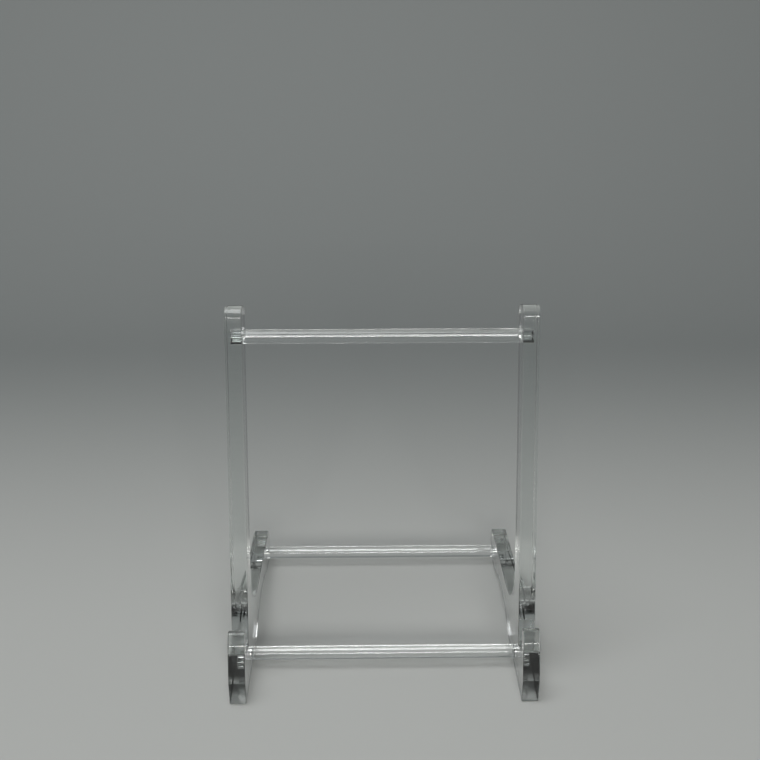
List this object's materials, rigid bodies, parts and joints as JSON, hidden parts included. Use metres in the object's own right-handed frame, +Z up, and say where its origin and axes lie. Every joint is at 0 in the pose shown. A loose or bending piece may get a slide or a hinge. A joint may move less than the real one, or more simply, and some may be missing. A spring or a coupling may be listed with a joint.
{
  "type": "plate display stand",
  "caption": "Clear acrylic plate display stand: profiled side legs with upturned front lips and leaning uprights, joined by round cross rods.",
  "frame": {"origin": "on the table, midway between the legs and midway along their footprint", "axes": "+X to the right as the plate is viewed, +Y towards the back of the stand, +Z up"},
  "size_m": [0.11, 0.098, 0.1327],
  "materials": {
    "leg_acrylic": "clear cast acrylic sheet, polished faces and flame-polished cut edges",
    "rod_acrylic": "clear extruded acrylic rod, polished"
  },
  "bodies": {
    "root": {"left_leg": "leg_acrylic", "right_leg": "leg_acrylic", "front_cross_rod": "rod_acrylic", "heel_cross_rod": "rod_acrylic", "upper_cross_rod": "rod_acrylic"}
  },
  "joints": []
}
